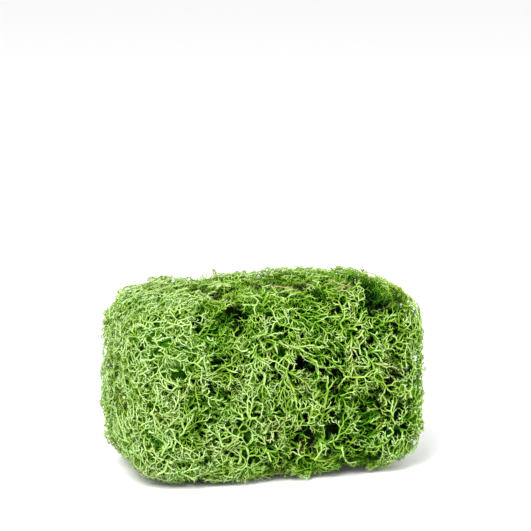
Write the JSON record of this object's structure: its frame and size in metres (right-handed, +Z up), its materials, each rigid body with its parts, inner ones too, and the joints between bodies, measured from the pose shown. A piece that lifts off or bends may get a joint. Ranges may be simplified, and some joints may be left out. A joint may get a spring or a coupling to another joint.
{
  "type": "reindeer moss clump",
  "caption": "Loose pressed clump of dried, green-dyed reindeer moss: round heads of finely forked stems grown round a tangle of old tan stems.",
  "frame": {"origin": "middle of the outline on the resting plane", "axes": "+X along the clump's length, +Z up, the side that the picture shows towards -Y"},
  "size_m": [0.1328, 0.073, 0.0815],
  "materials": {
    "living_stems": "soft dry lichen, dyed bright green",
    "old_stems": "dry dead lichen stems, tan to brown"
  },
  "bodies": {
    "root": {"head_front_upper_left": "living_stems", "head_front_upper_middle": "living_stems", "head_front_upper_right": "living_stems", "head_front_lower_left": "living_stems", "head_front_lower_middle_left": "living_stems", "head_front_lower_middle_right": "living_stems", "head_front_lower_right": "living_stems", "head_right_end": "living_stems", "head_top_left": "living_stems", "head_top_middle_left": "living_stems", "head_top_middle_right": "living_stems", "head_back_right_upper": "living_stems", "head_back_left": "living_stems", "head_back_middle": "living_stems", "head_back_right": "living_stems", "old_stems": "old_stems"}
  },
  "joints": []
}
